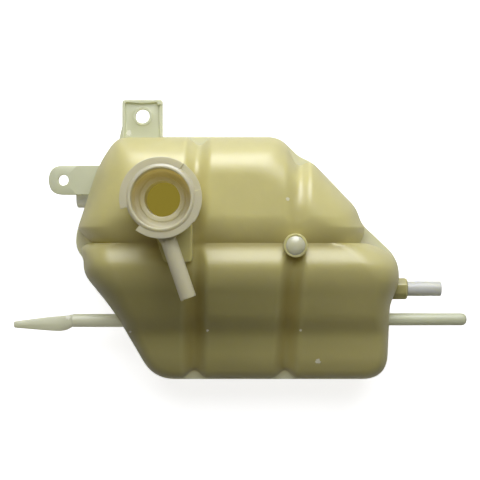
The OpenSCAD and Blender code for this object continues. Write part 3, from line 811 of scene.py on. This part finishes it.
def upper_tab(tabs, middle):
    """The upper tab: a plate with a rim along its edge and a raised ring round its hole, a nub on its right
    corner and a foot on its left edge."""
    x, half, reach = tabs.upper_x / MM, tabs.upper_width / MM / 2, tabs.upper_reach / MM
    left, right, root, nub = x - half, x + half, 30, 4
    low, top = middle - tabs.thick / MM / 2, middle + tabs.thick / MM / 2
    rim, inner = top + tabs.rim / MM, -tabs.rim_width / MM
    line = outline_of(((left, root, 1), (right, root, 1), (right, reach, 2.5), (left, reach, 2.5)), 6, 0.7)
    section = (
        (0, 0, low + 0.3), (0, 0, top + 0.5), (0, 0.3, top + 0.8), (0, 1.6, top + 0.8), (0, 2.0, top + 0.1),
        (0, 2.2, top), (1, inner - 0.4, top), (1, inner - 0.1, top + 0.3), (1, inner, rim - 0.4),
        (1, inner + 0.3, rim), (1, -0.4, rim), (1, 0, rim - 0.4), (1, 0, low + 0.4), (1, -0.4, low),
        (0, 0.3, low))
    corner = ((right - nub, reach - nub, 0.8), (right, reach - nub, 0.8), (right, reach, 1.2),
              (right - nub, reach, 1.2))
    foot = ((left - 2.6, 41, 0.5), (left + 1.9, 41, 0.5), (left + 1.9, 58, 0.5), (left, 59.3, 1.5),
            (left - 2.6, 49.3, 4))
    return [solid("upper_tab", eyelet(line, (x, tabs.upper_hole_y / MM), tabs.upper_hole / MM, section)),
            solid("nub", plate(corner, low + 1, rim + 1.2, 0.6)),
            solid("foot", plate(foot, low, top, 0.6))]


def left_tab(tabs, middle):
    """The left tab: a flat plate with a round end and a hole."""
    reach, y, half, root = tabs.left_reach / MM, tabs.left_y / MM, tabs.left_width / MM / 2, -45
    low, top = middle - tabs.thick / MM / 2, middle + tabs.thick / MM / 2
    end = half - 0.1
    line = outline_of(((-reach, y - half, end), (root, y - half, 1), (root, y + half, 1),
                       (-reach, y + half, end)), 16, 0.7)
    section = ((0, 0, low + 0.3), (0, 0, top - 0.3), (0, 0.3, top), (1, -0.9, top), (1, -0.3, top - 0.3),
               (1, 0, top - 0.9), (1, 0, low + 0.9), (1, -0.9, low), (0, 0.3, low))
    return solid("left_tab", eyelet(line, (-tabs.left_hole_x / MM, y), tabs.left_hole / MM, section))


# The pinched pipe as [distance left of the filler axis, half width, half height], in millimetres: round, then
# a step, then a flat leaf that narrows to its end
PINCHED_PIPE = (
    (24, 5.05, 5.05), (60, 5.05, 5.05), (73.2, 5.05, 5.05), (73.6, 4.75, 4.6), (75.5, 5.3, 4.1),
    (78, 5.6, 3.3), (81, 5.8, 2.3), (83.5, 5.85, 1.8), (88, 5.6, 1.5), (95, 5.0, 1.5), (103, 4.2, 1.4),
    (111, 3.3, 1.4), (116, 2.8, 1.3), (118.4, 2.4, 1.1), (119, 1.9, 0.7))
# How far the leaf bends down the picture, and the power of its sections, along the same distance
PINCHED_DRIFT = ((73.4, 0), (78, 1.6), (82, 2.3), (119, 3.1))
PINCHED_POWER = ((76, 2.0), (86, 1.5), (112, 1.5), (119, 2.0))


def pinched_pipe(pipes, middle):
    """The pipe that was pinched and sealed: superellipse sections, after the tables above."""
    distance, wide, tall = np.array(PINCHED_PIPE).T
    centres = np.column_stack([-distance, pipes.pinched_y / MM - table(distance, PINCHED_DRIFT),
                               np.full(len(distance), middle)])
    return solid("pinched_pipe", lofted(centres, wide, tall, table(distance, PINCHED_POWER)))


def collar(pipes, fittings, right, middle):
    """The eight-sided collar round the side nipple, chamfered at its end."""
    root, chamfer = 18, 1.2
    corner = pipes.collar / MM
    turn = np.radians(22.5 + 45 * np.arange(8))
    eight = np.column_stack([np.cos(turn) * corner, np.sin(turn) * corner, np.ones(8)])
    long = root + pipes.collar_out / MM
    return solid("collar", bar(rounded_line(eight, 4), (0, long - chamfer, long), (1, 1, 0.88),
                               (right - root, fittings.side_y / MM, middle), (1, 0, 0)))


def closed_stub(pipes, right, middle):
    """The closed stub: a turned rod with a round end, from inside the body's right end."""
    root, rounding = right - 15.6, 4.6
    section = rod_section(pipes.stub / MM, 0, pipes.stub_reach / MM - root, rounding)
    return solid("closed_stub", turned(section, 48, (root, pipes.stub_y / MM, middle), (1, 0, 0)))


def plinth(pipes, neck):
    """The plinth under the overflow nipple, cut out round the neck's foot."""
    corners = ((-9, -16, 2), (0.5, -45.5, 3), (21, -45.5, 3), (21, -16, 2))
    base = solid("plinth", plate(corners, FRONT_ROOT, pipes.plinth_top / MM, 1.2))
    play, above = 0.3, 120
    section = rod_section(neck_foot(neck) + play, neck.pad / MM, above, SHARP)
    return combine(base, [solid("neck_room", turned(section, 192))], "DIFFERENCE")


def front_rings(pipes, neck, fittings, plug_at):
    """The boss round the plug and the pad under the neck."""
    boss = ring_section(fittings.plug / MM, pipes.boss / MM, FRONT_ROOT, pipes.boss_top / MM, 0.5)
    pad = ring_section((neck.throat + neck.wall) / MM, neck_foot(neck), FRONT_ROOT + 5, neck.pad / MM, 0.5)
    return [solid("plug_boss", turned(boss, 64, plug_at)), solid("neck_pad", turned(pad, 128))]


def wall_holes(neck, fittings, middle, plug_at):
    """The holes that the neck, the plug, the side nipple and the lower port sit in."""
    up, right, left = (0, 0, 1), (1, 0, 0), (-1, 0, 0)
    # Each hole as [name, radius, start, end, steps, place, direction]
    holes = (
        ("throat_hole", neck.throat + neck.wall, 60, 110, 96, (0, 0, 0), up),
        ("plug_hole", fittings.plug, 75, 110, 64, plug_at, up),
        ("nipple_hole", fittings.side_root, 0, 60, 64, (150, fittings.side_y / MM, middle), right),
        ("port_hole", fittings.port, 0, 40, 64, (-48, fittings.port_y / MM, fittings.port_z / MM), left))
    return [solid(name, turned(rod_section(radius / MM, start, end, SHARP), steps, at, along))
            for name, radius, start, end, steps, at, along in holes]


class TANK_OT_body(bpy.types.Operator):
    """Build the blown body with its lobes, grooves, tabs and pipes"""
    bl_idname = "tank.body"
    bl_label = "Blown body"

    def execute(self, context):
        scene = context.scene
        body, pipes, neck, fittings = scene.tank_body, scene.tank_pipes, scene.tank_neck, scene.tank_fittings
        middle, right = body.parting / MM, body.reach_right / MM
        skin = Skin(body)
        piece = solid("body_shell", skin.mesh(inset=0, step=1.15, front_rows=72, back_rows=34))
        inner = solid("inside", skin.mesh(inset=body.wall / MM, step=3.0, front_rows=26, back_rows=14))
        tabs = [*upper_tab(scene.tank_tabs, middle), left_tab(scene.tank_tabs, middle)]
        pinched = pinched_pipe(pipes, middle)
        stub = closed_stub(pipes, right, middle)
        for kind, surfaces in zip(MATERIALS, ((piece,), (inner,), (*tabs, stub), (pinched,))):
            for surface in surfaces:
                mark_faces(surface, kind)
        plug_at = (fittings.plug_x / MM, fittings.plug_y / MM, 0)
        boss, pad = front_rings(pipes, neck, fittings, plug_at)
        combine(piece, [*tabs, pinched, stub, collar(pipes, fittings, right, middle), boss,
                        plinth(pipes, neck), pad], "UNION")
        holes = wall_holes(neck, fittings, middle, plug_at)
        combine(piece, [inner] + holes, "DIFFERENCE")
        paint_body(piece.data, skin)
        paint = scene.tank_colours
        finish_piece(piece, "tank_shell", [
            # The low and groove tints are painted shade
            plastic("blown_plastic", paint.blown, 0.42, 0.6,
                    (("low", paint.lower), ("groove", paint.groove), ("thin", paint.seam)), MARKS,
                    paint.seam_light, "thin"),
            plastic("blown_inside", paint.hollow, 0.5, 0.0, glow=paint.hollow_light),
            plastic("thin_plastic", paint.thin, 0.45, 0.3, marks=MARKS, glow=paint.thin_light),
            plastic("pipe_plastic", paint.pipe, 0.42, 0.3, marks=MARKS, glow=paint.pipe_light)])
        return {"FINISHED"}


# Direction of the overflow nipple, turned from X
NIPPLE_TURN = math.radians(-71)
NIPPLE_ALONG = (math.cos(NIPPLE_TURN), math.sin(NIPPLE_TURN), 0)
# How far the nipple's axis passes beside the filler axis, and where its nib sits on its end, in millimetres
NIPPLE_BESIDE = 5
NIB_AT = (-4.3, -1.5, 1.0)
# Angles in degrees at which the flange changes: the notch, the recess and the side where it is smaller
NOTCH = (195, 232.5)
RECESS = (12, 56)
CAM = (232.5, 324)


def neck_profile(neck, cut):
    """Closed half section of the neck, from the throat round to the lip and back down its inside. A cut of 0
    gives the whole flange, 1 the notch, 2 the recess and 3 the smaller side."""
    mouth, flange, wall, throat = (getattr(neck, n) / MM for n in ("mouth", "flange", "wall", "throat"))
    top, pad = neck.top / MM, neck.pad / MM
    plate_top = top - neck.lip / MM
    under = plate_top - neck.flange_thick / MM
    seat = top - neck.seat / MM
    lip = mouth + neck.lip_width / MM
    outer, foot, spigot = mouth + wall, neck_foot(neck), pad - 10
    reach = {0: flange, 1: lip + 0.4, 2: flange, 3: flange - neck.cam / MM}[cut]
    level = plate_top - neck.recess / MM if cut == 2 else plate_top
    step = 0.35 if cut == 1 else 0.8
    near = reach - step * 0.1
    ramp = min(reach - 0.1, lip + 0.9)
    corners = [
        (throat, spigot, 0.4), (throat + wall, spigot, 0.4), (throat + wall, pad, 0.1), (foot, pad, 0.4),
        (foot, pad + 2.5, 0.8), (outer, pad + 4.5, 1.2), (outer, under, 0.15), (near, under, 0.1),
        (reach, under + step, 0.4), (reach, level - step, 0.4), (near, level, 0.15), (ramp, level, 0.1),
        (lip, plate_top, 0.2), (lip - 1.4, top, 0.7), (mouth, top, 0.8), (mouth, seat + 1.6, 0.8),
        (mouth - 1.6, seat, 0.6), (throat + 4, seat, 0.3), (throat + 3.2, seat + 1.2, 0.4),
        (throat, seat + 1.2, 0.7)]
    return rounded_line(np.array(corners), 4)


def neck_surface(neck):
    """The neck as one turned ring whose section changes at the flange's notch, recess and step."""
    edges = np.radians(sorted({*NOTCH, *RECESS, *CAM}))
    whole = np.linspace(0, 2 * math.pi, 288, endpoint=False)
    angle = np.sort(np.concatenate([whole, edges - 0.004, edges + 0.004]))
    degrees = np.degrees(angle)
    kind = np.zeros(len(angle), dtype=int)
    for number, (low, high) in ((3, CAM), (1, NOTCH), (2, RECESS)):
        kind[(degrees > low) & (degrees < high)] = number
    profiles = np.array([neck_profile(neck, cut) for cut in range(4)])[kind]
    r, z = profiles[:, :, 0].T, profiles[:, :, 1].T
    points = np.stack([r * np.cos(angle), r * np.sin(angle), z], axis=2).reshape(-1, 3) * MM
    return points, grid_faces(r.shape[0], len(angle), wrap_rows=True)


def along_nipple(distance, height):
    """Point on the line of the overflow nipple, a distance along it from beside the filler axis."""
    x, y, _ = NIPPLE_ALONG
    return (y * NIPPLE_BESIDE + x * distance, -x * NIPPLE_BESIDE + y * distance, height)


def nipple_tube(neck, height):
    """The overflow nipple before it is bored: a turned rod with a thicker root and a nib on its end."""
    r, mouth, reach = neck.nipple / MM, neck.mouth / MM, neck.nipple_reach / MM
    start, sleeve = 18, 10.5
    long = reach - start
    outline = rounded_line(np.array([
        (0, 0, 0.01), (r + 0.7, 0, 0.05), (r + 0.7, sleeve, 0.5), (r, sleeve + 0.8, 0.5), (r, long, 0.7),
        (0, long, 0.01)], dtype=float), 6)
    outline[:, 0] = np.maximum(outline[:, 0], 0.0)
    tube = solid("nipple", turned(outline, 96, along_nipple(start, height), NIPPLE_ALONG))
    nib_at = np.array(along_nipple(reach - 0.5, height)) + np.array(NIB_AT)
    nib = solid("nib", turned(rod_section(0.9, 0, 1.1, 0.5), 24, nib_at, NIPPLE_ALONG))
    room = solid("room", turned(rod_section(mouth + 1, 100, 145, SHARP), 192))
    combine(tube, [nib], "UNION")
    return combine(tube, [room], "DIFFERENCE")


def paint_neck(mesh, neck):
    """Attribute inside, the share of painted shade and glow in the mouth: full on the mouth's wall from 6.5 mm
    below the lip, less towards the throat, and less on the lower side of the picture, whose wall faces the
    light, than on the upper, which lies in shade."""
    x, y, z = coordinates(mesh)
    r = np.hypot(x, y)
    mouth, top = neck.mouth / MM, neck.top / MM
    inside = np.clip((mouth + 0.4 - r) / 0.4, 0, 1) * np.clip((top - 1.5 - z) / 5, 0, 1)
    upper = 0.45 + 0.6 * y / np.maximum(r, 1)
    add_share(mesh, "inside", inside * table(r, ((16, 0.4), (20.5, 1.0))) * upper)


class TANK_OT_neck(bpy.types.Operator):
    """Build the filler neck with its flange, lip, seat and overflow nipple"""
    bl_idname = "tank.neck"
    bl_label = "Filler neck"

    def execute(self, context):
        neck, paint = context.scene.tank_neck, context.scene.tank_colours
        piece = solid("neck", neck_surface(neck))
        height = (neck.top - neck.nipple_drop) / MM
        combine(piece, [nipple_tube(neck, height)], "UNION")
        bore = rod_section(neck.nipple_bore / MM, 0, neck.nipple_reach / MM, SHARP)
        hole = solid("hole", turned(bore, 64, along_nipple(10, height), NIPPLE_ALONG))
        combine(piece, [hole], "DIFFERENCE")
        paint_neck(piece.data, neck)
        finish_piece(piece, "filler_neck", [
            # The tint inside the mouth is painted shade
            plastic("neck_plastic", paint.neck, 0.42, tints=(("inside", paint.neck_mouth_shade),),
                    glow=paint.neck_light, glow_share="inside")])
        return {"FINISHED"}


def side_tube(sizes, body, pipes):
    """The side nipple: a turned ring with a thicker root as far as the collar's end."""
    right, bore = body.reach_right / MM, sizes.side_bore / MM
    r, root, reach = sizes.side / MM, sizes.side_root / MM, sizes.side_reach / MM - right
    start, end = -14, pipes.collar_out / MM
    section = rounded_line(np.array([
        (bore, start, 0.3), (root, start, 0.3), (root, end, 0.2), (r, end, 0.1), (r, reach, 1.3),
        (bore, reach, 0.4)]), 6)
    at = (right, sizes.side_y / MM, body.parting / MM)
    return solid("side_tube", turned(section, 96, at, (1, 0, 0)))


def plug_cap(sizes, pipes):
    """The plug: a turned rod whose dome is a cap of a ball."""
    r, dome, rest = sizes.plug / MM, sizes.dome / MM, pipes.boss_top / MM
    ball = (r ** 2 + dome ** 2) / (2 * dome)
    sweep = np.linspace(math.asin(min(1.0, r / ball)), 0, 14)
    cap = np.column_stack([ball * np.sin(sweep), rest + dome - ball + ball * np.cos(sweep)])
    cap[0, 1] -= 0.15
    cap[-1, 0] = 0
    section = np.vstack([[(0, rest - 9), (r, rest - 9)], cap])
    return solid("plug", turned(section, 96, (sizes.plug_x / MM, sizes.plug_y / MM, 0)))


def port_tube(sizes):
    """The lower port: a turned ring."""
    r, bore, reach, start = sizes.port / MM, sizes.port_bore / MM, sizes.port_reach / MM, 49
    section = rounded_line(np.array([
        (bore, start, 0.3), (r, start, 0.3), (r, reach, 1.6), (bore, reach, 0.6)]), 6)
    return solid("port", turned(section, 96, (0, sizes.port_y / MM, sizes.port_z / MM), (-1, 0, 0)))


class TANK_OT_fittings(bpy.types.Operator):
    """Build the side nipple, the round plug and the lower port"""
    bl_idname = "tank.fittings"
    bl_label = "Fittings"

    def execute(self, context):
        scene = context.scene
        sizes, paint = scene.tank_fittings, scene.tank_colours
        finish_piece(side_tube(sizes, scene.tank_body, scene.tank_pipes), "side_nipple",
                     [plastic("insert_plastic", paint.nipple, 0.4)])
        finish_piece(plug_cap(sizes, scene.tank_pipes), "round_plug",
                     [plastic("plug_plastic", paint.plug, 0.3)])
        finish_piece(port_tube(sizes), "lower_port",
                     [plastic("port_plastic", paint.port, 0.4, glow=paint.port_light)])
        return {"FINISHED"}


def make_floor(stage):
    """Pale floor just under the tank. It has a light of its own that only the camera and clear pieces see."""
    half, level = stage.floor_half, -0.0002
    corners = ((-half, -half), (half, -half), (half, half), (-half, half))
    mesh = bpy.data.meshes.new("floor")
    mesh.from_pydata([(x, y, level) for x, y in corners], [], [(0, 1, 2, 3)])
    floor = place_object("floor", mesh)
    paint = bpy.data.materials.new("floor_paint")
    paint.use_nodes = True
    floor.data.materials.append(paint)
    nodes, links = paint.node_tree.nodes, paint.node_tree.links
    shader = nodes["Principled BSDF"]
    shader.inputs["Base Color"].default_value = (0.9, 0.9, 0.9, 1)
    shader.inputs["Roughness"].default_value = 0.9
    paths = nodes.new("ShaderNodeLightPath")
    seen = nodes.new("ShaderNodeMath")
    seen.operation = "MAXIMUM"
    links.new(paths.outputs["Is Camera Ray"], seen.inputs[0])
    links.new(paths.outputs["Is Transmission Ray"], seen.inputs[1])
    strength = nodes.new("ShaderNodeMath")
    strength.operation = "MULTIPLY"
    strength.inputs[1].default_value = stage.floor_glow
    links.new(seen.outputs[0], strength.inputs[0])
    shader.inputs["Emission Color"].default_value = (1, 1, 1, 1)
    links.new(strength.outputs[0], shader.inputs["Emission Strength"])


LAMP_COLOUR = (0.98, 1.0, 1.06)


def make_lamp(name, location, size, power):
    """Soft lamp that points at the filler axis. The key isn't seen in the gloss, and the sheen only there."""
    light = bpy.data.lights.new(name, "AREA")
    light.size = size
    light.energy = power
    light.color = LAMP_COLOUR
    lamp = place_object(name, light)
    lamp.location = location
    lamp.rotation_euler = (-lamp.location.normalized()).to_track_quat("-Z", "Y").to_euler()
    lamp.visible_diffuse = name != "sheen"
    lamp.visible_glossy = name != "key"


def make_world(scene, stage):
    """Pale horizon all round, and a dim warm room above it."""
    world = bpy.data.worlds.new("studio")
    world.use_nodes = True
    nodes, links = world.node_tree.nodes, world.node_tree.links
    direction = nodes.new("ShaderNodeTexCoord")
    split = nodes.new("ShaderNodeSeparateXYZ")
    links.new(direction.outputs["Generated"], split.inputs[0])
    band = nodes.new("ShaderNodeMapRange")
    band.interpolation_type = "SMOOTHSTEP"
    for socket, value in (("From Min", 0.1), ("From Max", 0.42), ("To Min", 1.0), ("To Max", 0.0)):
        band.inputs[socket].default_value = value
    links.new(split.outputs["Z"], band.inputs["Value"])
    colours = nodes.new("ShaderNodeMix")
    colours.data_type = "RGBA"
    links.new(band.outputs[0], colours.inputs[0])
    colours.inputs[6].default_value = (*(stage.room * v for v in (1.0, 0.82, 0.45)), 1)
    colours.inputs[7].default_value = (*(stage.horizon * v for v in (1.0, 1.0, 0.98)), 1)
    links.new(colours.outputs[2], nodes["Background"].inputs["Color"])
    scene.world = world


SENSOR_WIDTH = 36


def make_camera(scene, stage):
    """Camera straight above, with the lens that gives the view its width at the parting line."""
    data = bpy.data.cameras.new("camera")
    camera = place_object("camera", data)
    lip = cad_box[1][2]
    distance = stage.camera_height + lip - scene.tank_body.parting
    data.sensor_width = SENSOR_WIDTH
    data.lens = SENSOR_WIDTH * distance / stage.view_width
    camera.location = (stage.camera_x, stage.camera_y, lip + stage.camera_height)
    scene.camera = camera


class TANK_OT_stage(bpy.types.Operator):
    """Set the floor, the lights, the world and the camera"""
    bl_idname = "tank.stage"
    bl_label = "Stage"

    def execute(self, context):
        scene, stage = context.scene, context.scene.tank_stage
        scene.view_settings.view_transform = "Standard"
        make_floor(stage)
        # Large soft light from the upper edge of the picture, and a lower one that only the gloss shows
        make_lamp("key", location=(0.08, 0.55, 0.72), size=0.9, power=stage.key_power)
        make_lamp("sheen", location=(0.09, 0.72, 0.50), size=0.7, power=stage.sheen_power)
        make_lamp("fill", location=(-0.2, -0.9, 1.0), size=1.2, power=stage.fill_power)
        make_world(scene, stage)
        make_camera(scene, stage)
        return {"FINISHED"}


class TANK_PT_panel(bpy.types.Panel):
    bl_label = "Expansion tank"
    bl_idname = "TANK_PT_panel"
    bl_space_type = "VIEW_3D"
    bl_region_type = "UI"
    bl_category = "Tank"

    def draw(self, context):
        for group_name in GROUPS:
            group = getattr(context.scene, group_name)
            for name in group.__annotations__:
                self.layout.prop(group, name)
        for operator in OPERATORS:
            self.layout.operator(operator.bl_idname)


GROUPS = {"tank_body": BodySizes, "tank_tabs": TabSizes, "tank_pipes": PipeSizes, "tank_neck": NeckSizes,
          "tank_fittings": FittingSizes, "tank_colours": PlasticColours, "tank_stage": StageSettings}
OPERATORS = (TANK_OT_body, TANK_OT_neck, TANK_OT_fittings, TANK_OT_stage)


def register():
    for group in GROUPS.values():
        bpy.utils.register_class(group)
    for name, group in GROUPS.items():
        setattr(bpy.types.Scene, name, bpy.props.PointerProperty(type=group))
    for operator in OPERATORS:
        bpy.utils.register_class(operator)
    bpy.utils.register_class(TANK_PT_panel)


def unregister():
    bpy.utils.unregister_class(TANK_PT_panel)
    for operator in reversed(OPERATORS):
        bpy.utils.unregister_class(operator)
    for name, group in GROUPS.items():
        delattr(bpy.types.Scene, name)
        bpy.utils.unregister_class(group)


def main():
    register()
    bpy.ops.tank.body()
    bpy.ops.tank.neck()
    bpy.ops.tank.fittings()
    bpy.ops.tank.stage()


if __name__ == "__main__":
    main()
